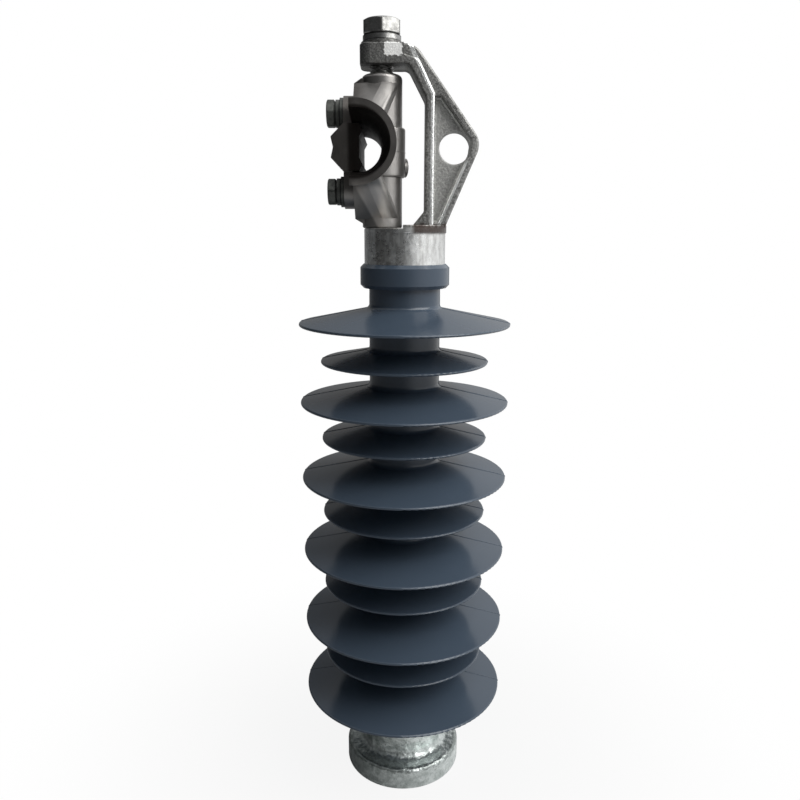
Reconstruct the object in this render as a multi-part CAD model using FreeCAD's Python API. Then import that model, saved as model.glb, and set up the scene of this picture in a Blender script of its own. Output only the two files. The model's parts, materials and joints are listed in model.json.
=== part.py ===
"""Polymer line post insulator with a trunnion conductor clamp, in millimetres.

The insulator stands on its base along +Z, with the origin at the centre of the base's underside.
The bracket and its eye are towards +X, the clamp bolts towards -X, and the conductor runs along Y.
Every piece's function returns one physical piece, already in its place.
"""
import FreeCAD, Part
import math
import os

V = FreeCAD.Vector
X_AXIS, Y_AXIS, Z_AXIS = V(1, 0, 0), V(0, 1, 0), V(0, 0, 1)

# Core rod and weather housing
ROD_DIAMETER = 38.0
SHEATH_DIAMETER = 50.0
LARGE_SHED_DIAMETER = 150.0
SMALL_SHED_DIAMETER = 120.0
LARGE_SHED_COUNT = 6
SHED_PITCH = 56.4
SMALL_SHED_DROP = 27.0
LOWEST_SHED_GAP = 7.7
TOP_SHED_GAP = 25.3
SHED_RIM_THICKNESS = 2.0
SHED_TOP_SLOPE = 11.8
SHED_UNDER_SLOPE = 3.5
SHED_ROOT_RADIUS = 3.0
CAP_COLLAR_DIAMETER = 62.4
BASE_COLLAR_DIAMETER = 66.0
COLLAR_LENGTH = 16.5
COLLAR_CHAMFER = 2.4
COLLAR_FLOOR = 2.0

# Cap on the rod
CAP_DIAMETER = 56.4
CAP_VISIBLE_LENGTH = 24.5
CAP_ROOF = 12.0
CAP_EDGE_RADIUS = 1.2

# Bracket of the top fitting, heights above the cap
FLANGE_DEPTH = 28.0
FLANGE_THICKNESS = 6.0
RIM_DEPTH = 22.0
UPPER_RIM_THICKNESS = 4.9
LOWER_RIM_THICKNESS = 5.5
WEB_THICKNESS = 9.0
BRACKET_EDGE_RADIUS = 1.5
POCKET_TOP_HEIGHT = 84.5
POCKET_FLOOR_HEIGHT = 4.0
POCKET_CORNER_RADIUS = 1.6
POCKET_FLOOR_RADIUS = 1.4
POCKET_EDGE_RADIUS = 1.2
WINDOW_X = 13.4
WINDOW_TOP_X = 2.2
WINDOW_TOP_RADIUS = 5.0
WINDOW_KNEE_HEIGHT = 83.2
WINDOW_KNEE_RADIUS = 6.0
WINDOW_FOOT_HEIGHT = 11.4
WINDOW_FOOT_RUN = 8.6
WINDOW_FOOT_RADIUS = 2.0
FLANGE_KNEE_RISE = 2.8
FLANGE_KNEE_RADIUS = 4.0
FLANGE_HEAD_RUN = 4.6
FLANGE_HEAD_RISE = 3.2
FLANGE_HEAD_THICKNESS = 7.6
BRACKET_APEX_X = 51.2
BRACKET_APEX_HEIGHT = 55.8
BRACKET_APEX_RADIUS = 13.0
BRACKET_SHOULDER_X = 6.2
BRACKET_SHOULDER_RADIUS = 13.0
BRACKET_FOOT_X = 27.2
EYE_DIAMETER = 20.8
EYE_X = 33.4
EYE_CENTRE_HEIGHT = 52.6
EYE_EDGE_RADIUS = 1.0
FOOT_X = -1.3
FOOT_DROP = 3.5
FOOT_RISE = 2.0
FOOT_PROUD = 0.7
BOSS_THICKNESS = 13.0
BOSS_REACH = 14.4
BOSS_CORNER_RADIUS = 7.0
LAND_HEIGHT = 2.1
LAND_DIAMETER = 27.6

# Base fitting
BASE_FLANGE_DIAMETER = 88.0
BASE_FLANGE_HEIGHT = 17.0
BASE_BARREL_DIAMETER = 60.0
BASE_BARREL_TOP = 59.0
BASE_ROD_FLOOR = 34.0
BASE_FILLET = 6.0
BASE_TAP_DIAMETER = 17.5
BASE_TAP_DEPTH = 27.0
BASE_TAP_CHAMFER = 1.5

# Clamp body
PIVOT_X = -15.6
CLAMP_POST_LENGTH = 99.0
POST_TO_BOSS_GAP = 4.9
POST_DIAMETER = 27.2
HUB_DIAMETER = 31.4
HUB_HEIGHT = 32.0
TRUNNION_DIAMETER = 16.0
TRUNNION_LENGTH = 6.0
PARTING_OFFSET = 18.4
TROUGH_LENGTH = 132.0
THROAT_LENGTH = 56.0
THROAT_HALF_HEIGHT = 15.0
THROAT_DEPTH = 18.5
MOUTH_HALF_HEIGHT = 19.4
MOUTH_DEPTH = 25.0
TROUGH_WALL = 5.2
LIP_HALF_HEIGHT = 24.8
LIP_DEPTH = 28.6
LIP_LENGTH = 4.5
ARM_HALF_LENGTH = 44.0
ARM_START = 12.0
ARM_WIDTH = 17.0
ARM_CORNER_RADIUS = 5.0
ARM_END_WIDTH = 13.0
ARM_REACH = 43.5
ARM_SHOULDER = 3.2
POST_OVERLAP = 0.2
POST_TOP_RADIUS = 3.0
PAD_WIDTH = 25.0
GATE_DIAMETER = 12.6
GATE_DROP = 9.0
GATE_PROUD = 1.2

# Keeper
EAR_THICKNESS = 7.2
EAR_SPAN = 73.4
KEEPER_LENGTH = 76.0
KEEPER_RIDGE_HEIGHT = 6.2
KEEPER_RIDGE_HALF_GAP = 6.4
KEEPER_VALLEY_DEPTH = 1.5
KEEPER_SIDE_DEPTH = 5.2
JAW_SIDE_CLEARANCE = 0.5
JAW_RIDGE_HALF_GAP = 10.0
JAW_HOLLOW_HALF_GAP = 6.3
JAW_REACH = 6.7
JAW_HOLLOW = 2.1

# Pivot bolt, M16, with its plain point in the top of the clamp's post
PIVOT_BOLT_DIAMETER = 16.0
PIVOT_POINT_DIAMETER = 13.0
PIVOT_POINT_LENGTH = 14.0
PIVOT_HEAD_ACROSS_FLATS = 24.0
PIVOT_HEAD_HEIGHT = 10.0
PIVOT_WASHER_DIAMETER = 25.4
PIVOT_WASHER_THICKNESS = 4.0

# Keeper bolts, M10
KEEPER_BOLT_DIAMETER = 10.0
KEEPER_BOLT_TO_EAR_END = 11.35
KEEPER_BOLT_LENGTH = 30.0
KEEPER_HEAD_ACROSS_FLATS = 17.0
KEEPER_HEAD_HEIGHT = 6.2
KEEPER_HOLE_DIAMETER = 11.0
KEEPER_SPRING_DIAMETER = 18.0
KEEPER_SPRING_THICKNESS = 2.8
KEEPER_FLAT_DIAMETER = 20.4
KEEPER_FLAT_THICKNESS = 2.6

# Fits
RUNNING_CLEARANCE = 0.05
END_CLEARANCE = 0.6
WASHER_CLEARANCE = 0.25
SPRING_SLOT = 2.0

# Heights from the base up, and places that follow from the sizes above
BASE_COLLAR_TOP = BASE_BARREL_TOP + COLLAR_FLOOR
BASE_COLLAR_BOTTOM = BASE_COLLAR_TOP - COLLAR_LENGTH
LOWEST_SHED_HEIGHT = BASE_COLLAR_TOP + LOWEST_SHED_GAP
TOP_SHED_HEIGHT = LOWEST_SHED_HEIGHT + (LARGE_SHED_COUNT - 1) * SHED_PITCH
COLLAR_BOTTOM = TOP_SHED_HEIGHT + TOP_SHED_GAP
COLLAR_TOP = COLLAR_BOTTOM + COLLAR_LENGTH
CAP_BOTTOM = COLLAR_BOTTOM + COLLAR_FLOOR
CAP_TOP = COLLAR_TOP + CAP_VISIBLE_LENGTH
ROD_TOP = CAP_TOP - CAP_ROOF
POST_TOP = CAP_TOP + CLAMP_POST_LENGTH
BOSS_BOTTOM = POST_TOP + POST_TO_BOSS_GAP
BOSS_TOP = BOSS_BOTTOM + BOSS_THICKNESS
LAND_TOP = BOSS_TOP + LAND_HEIGHT
PIVOT_SEAT = LAND_TOP + PIVOT_WASHER_THICKNESS
CLAMP_MID = CAP_TOP + CLAMP_POST_LENGTH / 2
PARTING_X = PIVOT_X - PARTING_OFFSET
KEEPER_BOLT_SPACING = EAR_SPAN - 2 * KEEPER_BOLT_TO_EAR_END
EAR_X = PARTING_X - EAR_THICKNESS
WASHER_SEAT_X = EAR_X - KEEPER_FLAT_THICKNESS
KEEPER_SEAT_X = WASHER_SEAT_X - KEEPER_SPRING_THICKNESS
BOLT_TIP_X = KEEPER_SEAT_X + KEEPER_BOLT_LENGTH


def corner_arc(before, corner, after, radius):
    """Start, middle and end of the arc that rounds one corner of a flat outline."""
    to_before = (before - corner).normalize()
    to_after = (after - corner).normalize()
    half = to_before.getAngle(to_after) / 2
    reach = radius / math.tan(half)
    bisector = (to_before + to_after).normalize()
    middle = corner + bisector * (radius / math.sin(half) - radius)
    return corner + to_before * reach, middle, corner + to_after * reach


def rounded_wire(points):
    """Closed wire through (position, radius) corners; radius 0 leaves a corner sharp."""
    count = len(points)
    rounds = []
    for i, (corner, radius) in enumerate(points):
        before = points[i - 1][0]
        after = points[(i + 1) % count][0]
        if radius > 0:
            rounds.append(corner_arc(before, corner, after, radius))
        else:
            rounds.append((corner, None, corner))
    edges = []
    for i, (start, middle, end) in enumerate(rounds):
        if middle is not None:
            edges.append(Part.Arc(start, middle, end).toShape())
        following = rounds[(i + 1) % count][0]
        if end.distanceToPoint(following) > 1e-6:
            edges.append(Part.LineSegment(end, following).toShape())
    return Part.Wire(edges)


def profile(corners):
    """Closed wire in the plane Y = 0 from (x, z) or (x, z, radius) corners."""
    return rounded_wire([(V(c[0], 0, c[1]), c[2] if len(c) > 2 else 0) for c in corners])


def slab(corners, depth):
    """Plate of an XZ outline, centred on the plane Y = 0."""
    plate = Part.Face(profile(corners)).extrude(Y_AXIS * depth)
    return plate.translated(Y_AXIS * (-depth / 2))


def turned(corners):
    """Solid of revolution about Z from (radius, z) or (radius, z, fillet) corners."""
    return Part.Face(profile(corners)).revolve(V(0, 0, 0), Z_AXIS, 360)


def bar(diameter, start, end):
    """Round bar between two points."""
    run = end - start
    return Part.makeCylinder(diameter / 2, run.Length, start, run)


def hexagon(across_flats, start, run, turn):
    """Hexagonal bar from a point, turned about its own axis by an angle in degrees."""
    radius = across_flats / math.sqrt(3)
    points = []
    for i in range(7):
        angle = math.radians(turn + 60 * i)
        points.append(V(radius * math.cos(angle), radius * math.sin(angle), 0))
    blank = Part.Face(Part.makePolygon(points)).extrude(Z_AXIS * run.Length)
    blank.Placement = FreeCAD.Placement(start, FreeCAD.Rotation(Z_AXIS, run))
    return blank


def fused(first, *others):
    """One solid from several that meet, with its split faces joined."""
    return first.fuse(list(others)).removeSplitter()


def rim_edges(shape, depth):
    """Edges that lie in the two outer faces of a plate centred on Y = 0."""
    found = []
    for edge in shape.Edges:
        box = edge.BoundBox
        if box.YLength < 1e-6 and abs(abs(box.YMin) - depth / 2) < 1e-6:
            found.append(edge)
    return found


def hole_rims(shape, diameter):
    """Round edges of one diameter, such as the two rims of a drilled hole."""
    return [edge for edge in shape.Edges
            if isinstance(edge.Curve, Part.Circle)
            and abs(edge.Curve.Radius - diameter / 2) < 1e-6]


def shed_corners(rim_diameter, rim_height):
    """Corners of one shed: along its underside, round its rim and back along its top."""
    root = SHEATH_DIAMETER / 2
    rim = rim_diameter / 2
    half = SHED_RIM_THICKNESS / 2
    under_rise = (rim - root) * math.tan(math.radians(SHED_UNDER_SLOPE))
    top_rise = (rim - root) * math.tan(math.radians(SHED_TOP_SLOPE))
    return [
        (root, rim_height - half + under_rise, SHED_ROOT_RADIUS),
        (rim, rim_height - half, 0.94 * half),
        (rim, rim_height + half, 0.94 * half),
        (root, rim_height + half + top_rise, SHED_ROOT_RADIUS),
    ]


def housing():
    """Silicone weather housing, moulded in one piece with a collar over each fitting."""
    root = SHEATH_DIAMETER / 2
    bore = ROD_DIAMETER / 2
    collar = BASE_COLLAR_DIAMETER / 2
    corners = [
        (BASE_BARREL_DIAMETER / 2, BASE_COLLAR_BOTTOM),
        (collar - COLLAR_CHAMFER, BASE_COLLAR_BOTTOM),
        (collar, BASE_COLLAR_BOTTOM + COLLAR_CHAMFER),
        (collar, BASE_COLLAR_TOP - COLLAR_CHAMFER),
        (collar - COLLAR_CHAMFER, BASE_COLLAR_TOP),
        (root, BASE_COLLAR_TOP),
    ]
    for i in reversed(range(LARGE_SHED_COUNT)):
        height = TOP_SHED_HEIGHT - i * SHED_PITCH
        corners += shed_corners(LARGE_SHED_DIAMETER, height)
        if i > 0:
            small_height = height + SHED_PITCH - SMALL_SHED_DROP
            corners += shed_corners(SMALL_SHED_DIAMETER, small_height)
    collar = CAP_COLLAR_DIAMETER / 2
    corners += [
        (root, COLLAR_BOTTOM),
        (collar - COLLAR_CHAMFER, COLLAR_BOTTOM),
        (collar, COLLAR_BOTTOM + COLLAR_CHAMFER),
        (collar, COLLAR_TOP - COLLAR_CHAMFER),
        (collar - COLLAR_CHAMFER, COLLAR_TOP),
        (CAP_DIAMETER / 2, COLLAR_TOP),
        (CAP_DIAMETER / 2, CAP_BOTTOM),
        (bore, CAP_BOTTOM),
        (bore, BASE_BARREL_TOP),
        (BASE_BARREL_DIAMETER / 2, BASE_BARREL_TOP),
    ]
    return turned(corners)


def core_rod():
    """Glass fibre rod that carries the load from the cap to the base."""
    return bar(ROD_DIAMETER, V(0, 0, BASE_ROD_FLOOR), V(0, 0, ROD_TOP))


def base_fitting():
    """Galvanised base: a flange with a tapped hole below and the rod's socket above."""
    flange = BASE_FLANGE_DIAMETER / 2
    barrel = BASE_BARREL_DIAMETER / 2
    tap = BASE_TAP_DIAMETER / 2
    socket = ROD_DIAMETER / 2
    return turned([
        (0, BASE_TAP_DEPTH),
        (tap, BASE_TAP_DEPTH),
        (tap, BASE_TAP_CHAMFER),
        (tap + BASE_TAP_CHAMFER, 0),
        (flange, 0, 1.5),
        (flange, BASE_FLANGE_HEIGHT, 3.0),
        (barrel, BASE_FLANGE_HEIGHT, BASE_FILLET),
        (barrel, BASE_BARREL_TOP),
        (socket, BASE_BARREL_TOP),
        (socket, BASE_ROD_FLOOR),
        (0, BASE_ROD_FLOOR),
    ])


def cap():
    """Cup of the top fitting, crimped on the rod."""
    outer = CAP_DIAMETER / 2
    socket = ROD_DIAMETER / 2
    return turned([
        (0, ROD_TOP),
        (socket, ROD_TOP),
        (socket, CAP_BOTTOM),
        (outer, CAP_BOTTOM),
        (outer, CAP_TOP, CAP_EDGE_RADIUS),
        (0, CAP_TOP),
    ])


def upper_slope():
    """Sideways run of the bracket's upper edge for each millimetre down."""
    return (BRACKET_APEX_X - BRACKET_SHOULDER_X) / (BOSS_TOP - CAP_TOP - BRACKET_APEX_HEIGHT)


def lower_slope():
    """Sideways run of the bracket's lower edge for each millimetre up."""
    return (BRACKET_APEX_X - BRACKET_FOOT_X) / BRACKET_APEX_HEIGHT


def bracket_plate():
    """Plate inside the bracket's outer outline, at the depth of its rim."""
    inside = WINDOW_X + FLANGE_THICKNESS / 2
    knee = CAP_TOP + WINDOW_KNEE_HEIGHT + FLANGE_KNEE_RISE / 2
    below = BOSS_BOTTOM + FLANGE_HEAD_THICKNESS / 4
    plate = slab([
        (PIVOT_X + BOSS_REACH / 2, BOSS_TOP),
        (BRACKET_SHOULDER_X, BOSS_TOP, BRACKET_SHOULDER_RADIUS),
        (BRACKET_APEX_X, CAP_TOP + BRACKET_APEX_HEIGHT, BRACKET_APEX_RADIUS),
        (BRACKET_FOOT_X, CAP_TOP),
        (inside, CAP_TOP),
        (inside, knee),
        (BRACKET_SHOULDER_X, below),
        (PIVOT_X + BOSS_REACH / 2, below),
    ], RIM_DEPTH)
    return plate.makeFillet(BRACKET_EDGE_RADIUS, rim_edges(plate, RIM_DEPTH))


def pocket_outline():
    """Outline of the recess beside the web: the deep flange's face and the rim's inner sides."""
    across_upper = UPPER_RIM_THICKNESS * math.hypot(1, upper_slope())
    across_lower = LOWER_RIM_THICKNESS * math.hypot(1, lower_slope())
    left = WINDOW_X + FLANGE_THICKNESS
    apex_x = BRACKET_APEX_X - across_upper
    apex_z = CAP_TOP + BRACKET_APEX_HEIGHT
    top = CAP_TOP + POCKET_TOP_HEIGHT
    bottom = CAP_TOP + POCKET_FLOOR_HEIGHT
    upper_x = apex_x - upper_slope() * (top - apex_z)
    lower_x = BRACKET_FOOT_X - across_lower + lower_slope() * POCKET_FLOOR_HEIGHT
    drop = (across_upper - across_lower) / (upper_slope() + lower_slope())
    corner_x = apex_x + upper_slope() * drop
    return profile([
        (left, top),
        (upper_x, top, POCKET_CORNER_RADIUS),
        (corner_x, apex_z - drop, BRACKET_APEX_RADIUS - LOWER_RIM_THICKNESS),
        (lower_x, bottom, POCKET_CORNER_RADIUS),
        (left, bottom),
    ])


def pocket():
    """Recess in the near side of the bracket, with a rounded corner all round its floor."""
    depth = (RIM_DEPTH - WEB_THICKNESS) / 2
    recess = Part.Face(pocket_outline()).extrude(Y_AXIS * -depth)
    recess = recess.translated(Y_AXIS * (-WEB_THICKNESS / 2))
    floor = [edge for edge in recess.Edges
             if edge.BoundBox.YLength < 1e-6 and edge.BoundBox.YMax > -RIM_DEPTH / 2 + 1e-3]
    return recess.makeFillet(POCKET_FLOOR_RADIUS, floor)


def inner_flange():
    """Deep flange beside the window, from the cap up to the boss."""
    outside = WINDOW_X + FLANGE_THICKNESS
    hidden_x = PIVOT_X + BOSS_REACH / 2
    knee = CAP_TOP + WINDOW_KNEE_HEIGHT
    foot_top = CAP_TOP + FOOT_RISE / 2
    head_top = BOSS_BOTTOM + FLANGE_HEAD_THICKNESS
    plate = slab([
        (hidden_x, BOSS_BOTTOM),
        (WINDOW_TOP_X, BOSS_BOTTOM, WINDOW_TOP_RADIUS),
        (WINDOW_X, knee, WINDOW_KNEE_RADIUS),
        (WINDOW_X, CAP_TOP + WINDOW_FOOT_HEIGHT, WINDOW_FOOT_RADIUS),
        (WINDOW_X - WINDOW_FOOT_RUN, foot_top),
        (outside, foot_top),
        (outside, knee + FLANGE_KNEE_RISE, FLANGE_KNEE_RADIUS),
        (WINDOW_X - FLANGE_HEAD_RUN, BOSS_BOTTOM + FLANGE_HEAD_RISE, WINDOW_TOP_RADIUS),
        (WINDOW_TOP_X - FLANGE_HEAD_THICKNESS, head_top),
        (hidden_x, head_top),
    ], FLANGE_DEPTH)
    return plate.makeFillet(BRACKET_EDGE_RADIUS, rim_edges(plate, FLANGE_DEPTH))


def bracket():
    """Bracket: plate and deep flange in one, recessed on both sides of the web."""
    near = pocket()
    body = fused(bracket_plate(), inner_flange())
    body = body.cut([near, near.mirror(V(0, 0, 0), Y_AXIS)]).removeSplitter()
    outline = pocket_outline()
    mouths = []
    for edge in rim_edges(body, RIM_DEPTH):
        middle = edge.valueAt((edge.FirstParameter + edge.LastParameter) / 2)
        spot = Part.Vertex(V(middle.x, 0, middle.z))
        if spot.distToShape(outline)[0] < 1e-6:
            mouths.append(edge)
    return body.makeFillet(POCKET_EDGE_RADIUS, mouths)


def foot():
    """Half-moon foot that joins the bracket to the edge of the cap."""
    radius = CAP_DIAMETER / 2 + FOOT_PROUD
    thickness = FOOT_DROP + FOOT_RISE
    disc = Part.makeCylinder(radius, thickness, V(0, 0, CAP_TOP - FOOT_DROP))
    rims = [edge for edge in disc.Edges if edge.BoundBox.ZLength < 1e-6]
    disc = disc.makeFillet(0.6, rims)
    side = Part.makeBox(2 * radius, 2 * radius, thickness,
                        V(FOOT_X, -radius, CAP_TOP - FOOT_DROP))
    return disc.common(side)


def boss():
    """Block at the head of the bracket that takes the pivot bolt, with its raised land."""
    depth = FLANGE_DEPTH
    block = Part.makeBox(2 * BOSS_REACH, depth, BOSS_THICKNESS,
                         V(PIVOT_X - BOSS_REACH, -depth / 2, BOSS_BOTTOM))
    corners = [edge for edge in block.Edges
               if edge.BoundBox.ZLength > 1 and edge.BoundBox.XMax < PIVOT_X]
    block = block.makeFillet(BOSS_CORNER_RADIUS, corners)
    outline = [edge for edge in block.Edges
               if edge.BoundBox.ZLength < 1e-6
               and edge.BoundBox.XMin < PIVOT_X + BOSS_REACH - 1e-3]
    block = block.makeFillet(1.0, outline)
    land = Part.makeCylinder(LAND_DIAMETER / 2, LAND_HEIGHT + 1.0,
                             V(PIVOT_X, 0, BOSS_TOP - 1.0))
    return block.fuse(land)


def top_fitting():
    """Top fitting, cast in one piece: cap, bracket with its eye, and the pivot's boss."""
    body = fused(cap(), bracket(), foot(), boss())
    eye_height = CAP_TOP + EYE_CENTRE_HEIGHT
    eye = bar(EYE_DIAMETER, V(EYE_X, -40, eye_height), V(EYE_X, 40, eye_height))
    thread = bar(PIVOT_BOLT_DIAMETER + 2 * RUNNING_CLEARANCE,
                 V(PIVOT_X, 0, BOSS_BOTTOM - 1), V(PIVOT_X, 0, LAND_TOP + 1))
    socket_depth = TRUNNION_LENGTH + END_CLEARANCE
    socket = bar(TRUNNION_DIAMETER + 2 * RUNNING_CLEARANCE,
                 V(PIVOT_X, 0, CAP_TOP - socket_depth), V(PIVOT_X, 0, CAP_TOP + 1))
    body = body.cut([eye, thread, socket]).removeSplitter()
    return body.makeFillet(EYE_EDGE_RADIUS, hole_rims(body, EYE_DIAMETER))


def u_section(y, half_height, tip_x, back_x):
    """Closed U outline at one place along the trough, open side towards -X."""
    centre = tip_x - half_height
    high = CLAMP_MID + half_height
    low = CLAMP_MID - half_height
    return Part.Wire([
        Part.LineSegment(V(back_x, y, high), V(centre, y, high)).toShape(),
        Part.Arc(V(centre, y, high), V(tip_x, y, CLAMP_MID), V(centre, y, low)).toShape(),
        Part.LineSegment(V(centre, y, low), V(back_x, y, low)).toShape(),
        Part.LineSegment(V(back_x, y, low), V(back_x, y, high)).toShape(),
    ])


def trough_run(stations, back_x):
    """Solid through U outlines given as (y, half height, depth from the parting plane)."""
    first = stations[0]
    middle = Part.Face(u_section(-first[0], first[1], PARTING_X + first[2], back_x))
    straight = middle.extrude(Y_AXIS * (2 * first[0]))
    sections = [u_section(y, half, PARTING_X + depth, back_x) for y, half, depth in stations]
    flared = Part.makeLoft(sections, True, False)
    return fused(straight, flared, flared.mirror(V(0, 0, 0), Y_AXIS))


def flare(end, first, last):
    """Stations from the straight throat out to an end, opening towards the mouth."""
    straight = THROAT_LENGTH / 2
    stations = []
    for step in (0.0, 0.35, 0.7, 1.0):
        share = step * step
        stations.append((straight + step * (end - straight),
                         first[0] + share * (last[0] - first[0]),
                         first[1] + share * (last[1] - first[1])))
    return stations


def throat():
    """Space that the conductor lies in, with its flared mouths."""
    stations = flare(TROUGH_LENGTH / 2, (THROAT_HALF_HEIGHT, THROAT_DEPTH),
                     (MOUTH_HALF_HEIGHT, MOUTH_DEPTH))
    return trough_run(stations, PARTING_X - 5)


def trough_shell():
    """Outside of the trough before the throat is cut, with a lip at each mouth."""
    end = TROUGH_LENGTH / 2 - LIP_LENGTH
    stations = flare(end, (THROAT_HALF_HEIGHT + TROUGH_WALL, THROAT_DEPTH + TROUGH_WALL),
                     (LIP_HALF_HEIGHT - 0.8, LIP_DEPTH - 0.8))
    lip = Part.Face(u_section(end, LIP_HALF_HEIGHT, PARTING_X + LIP_DEPTH, PARTING_X))
    lip = lip.extrude(Y_AXIS * LIP_LENGTH)
    return fused(trough_run(stations, PARTING_X), lip, lip.mirror(V(0, 0, 0), Y_AXIS))


def arm_start(height):
    """Outline of an arm inside the trough: a rectangle with rounded corners."""
    left, right = PARTING_X, PARTING_X + ARM_WIDTH
    half = ARM_HALF_LENGTH
    radius = ARM_CORNER_RADIUS
    inset = (1 - math.sqrt(0.5)) * radius
    straights = [
        (V(right, -half + radius, height), V(right, half - radius, height)),
        (V(right - radius, half, height), V(left + radius, half, height)),
        (V(left, half - radius, height), V(left, -half + radius, height)),
        (V(left + radius, -half, height), V(right - radius, -half, height)),
    ]
    middles = [
        V(right - inset, half - inset, height),
        V(left + inset, half - inset, height),
        V(left + inset, -half + inset, height),
        V(right - inset, -half + inset, height),
    ]
    edges = []
    for i in range(4):
        start, end = straights[i]
        following = straights[(i + 1) % 4][0]
        edges.append(Part.LineSegment(start, end).toShape())
        edges.append(Part.Arc(end, middles[i], following).toShape())
    return Part.Wire(edges)


def arm_end(height):
    """Outline of an arm at the post: round in front and behind, narrow at the parting plane."""
    radius = POST_DIAMETER / 2 - POST_OVERLAP
    edge = ARM_END_WIDTH / 2

    def spot(angle):
        turn = math.radians(angle)
        return V(PIVOT_X + radius * math.cos(turn), radius * math.sin(turn), height)

    def arc(first, last):
        return Part.Arc(spot(first), spot((first + last) / 2), spot(last)).toShape()

    back = V(PARTING_X, edge, height)
    front = V(PARTING_X, -edge, height)
    return Part.Wire([
        arc(-40, 40),
        arc(40, 50),
        arc(50, 88),
        Part.LineSegment(spot(88), back).toShape(),
        Part.LineSegment(back, front).toShape(),
        Part.LineSegment(front, spot(272)).toShape(),
        arc(272, 310),
        arc(310, 320),
    ])


def arm(side):
    """Web from the trough to the post, above (side 1) or below (side -1) the throat."""
    start = arm_start(CLAMP_MID + side * ARM_START)
    end = arm_end(CLAMP_MID + side * ARM_REACH)
    return Part.makeLoft([start, end], True, True)


def arm_shoulders():
    """Sloped ends of the two arms, beside the parting plane."""
    high = CLAMP_MID + ARM_REACH
    low = CLAMP_MID - ARM_REACH
    return slab([
        (PARTING_X, low),
        (PARTING_X, high),
        (PARTING_X + 1.5 * ARM_SHOULDER, high + ARM_SHOULDER),
        (PIVOT_X, high + ARM_SHOULDER),
        (PIVOT_X, low - ARM_SHOULDER),
        (PARTING_X + 1.7 * ARM_SHOULDER, low - ARM_SHOULDER),
    ], ARM_END_WIDTH)


def ear_outline(x):
    """Outline of the keeper's ears and of the pads behind them, at one place along X."""
    edge = PAD_WIDTH / 2
    half = EAR_SPAN / 2
    corners = [V(x, -edge, CLAMP_MID - half), V(x, edge, CLAMP_MID - half),
               V(x, edge, CLAMP_MID + half), V(x, -edge, CLAMP_MID + half)]
    return Part.Face(rounded_wire([(corner, edge) for corner in corners]))


def bolt_pads():
    """Block behind the parting plane that the keeper bolts screw into."""
    return ear_outline(PARTING_X).extrude(X_AXIS * PARTING_OFFSET)


def clamp_body():
    """Clamp body, cast in one piece: post, trunnion, trough, webs and bolt pads."""
    centre = V(PIVOT_X, 0, CLAMP_MID)
    post = bar(POST_DIAMETER, V(PIVOT_X, 0, CAP_TOP), V(PIVOT_X, 0, POST_TOP))
    foot_edge = [edge for edge in post.Edges if edge.BoundBox.ZMax < CAP_TOP + 1]
    head_edge = [edge for edge in post.Edges if edge.BoundBox.ZMin > POST_TOP - 1]
    post = post.makeChamfer(0.8, foot_edge).makeFillet(POST_TOP_RADIUS, head_edge)
    trunnion = bar(TRUNNION_DIAMETER, V(PIVOT_X, 0, CAP_TOP - TRUNNION_LENGTH),
                   V(PIVOT_X, 0, CAP_TOP + 1))
    half_hub = Z_AXIS * (HUB_HEIGHT / 2)
    hub = bar(HUB_DIAMETER, centre - half_hub, centre + half_hub)
    ends = [edge for edge in hub.Edges if edge.BoundBox.ZLength < 1e-6]
    hub = hub.makeFillet(1.4, ends)
    gate_at = centre - Z_AXIS * GATE_DROP
    gate_end = gate_at + V(0.94, 0.34, 0) * (HUB_DIAMETER / 2 + GATE_PROUD)
    gate = bar(GATE_DIAMETER, gate_at, gate_end)
    body = fused(trough_shell(), arm(1), arm(-1), arm_shoulders(), bolt_pads(), post, hub,
                 trunnion, gate)
    depth = PIVOT_POINT_LENGTH + END_CLEARANCE
    cuts = [throat()]
    cuts.append(bar(PIVOT_POINT_DIAMETER + 2 * RUNNING_CLEARANCE,
                    V(PIVOT_X, 0, POST_TOP - depth), V(PIVOT_X, 0, POST_TOP + 1)))
    for side in (-1, 1):
        height = CLAMP_MID + side * KEEPER_BOLT_SPACING / 2
        cuts.append(bar(KEEPER_BOLT_DIAMETER + 2 * RUNNING_CLEARANCE,
                        V(PARTING_X - 1, 0, height), V(BOLT_TIP_X + 3, 0, height)))
    body = body.cut(cuts)
    ahead = Part.makeBox(120, 200, 300, V(PARTING_X, -100, CLAMP_MID - 150))
    return body.common(ahead).removeSplitter()


def keeper():
    """Keeper that presses the conductor into the trough: two ears and a ridged jaw."""
    ridge_x = EAR_X - KEEPER_RIDGE_HEIGHT
    side_x = PARTING_X - KEEPER_SIDE_DEPTH
    jaw_x = PARTING_X + JAW_REACH
    hollow_x = jaw_x - JAW_HOLLOW
    side = THROAT_HALF_HEIGHT - JAW_SIDE_CLEARANCE
    mid = CLAMP_MID
    body = slab([
        (side_x, mid - side, 1.0),
        (ridge_x, mid - KEEPER_RIDGE_HALF_GAP, 1.0),
        (ridge_x + KEEPER_VALLEY_DEPTH, mid, 3.0),
        (ridge_x, mid + KEEPER_RIDGE_HALF_GAP, 1.0),
        (side_x, mid + side, 1.0),
        (hollow_x, mid + side, 0.8),
        (jaw_x, mid + JAW_RIDGE_HALF_GAP, 0.5),
        (hollow_x, mid + JAW_HOLLOW_HALF_GAP, 1.5),
        (hollow_x, mid - JAW_HOLLOW_HALF_GAP, 1.5),
        (jaw_x, mid - JAW_RIDGE_HALF_GAP, 0.5),
        (hollow_x, mid - side, 0.8),
    ], KEEPER_LENGTH)
    ears = ear_outline(EAR_X).extrude(X_AXIS * EAR_THICKNESS)
    cuts = []
    for end in (-1, 1):
        height = mid + end * KEEPER_BOLT_SPACING / 2
        cuts.append(bar(KEEPER_HOLE_DIAMETER, V(EAR_X - 5, 0, height),
                        V(PARTING_X + 5, 0, height)))
    return fused(body, ears).cut(cuts).removeSplitter()


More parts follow.
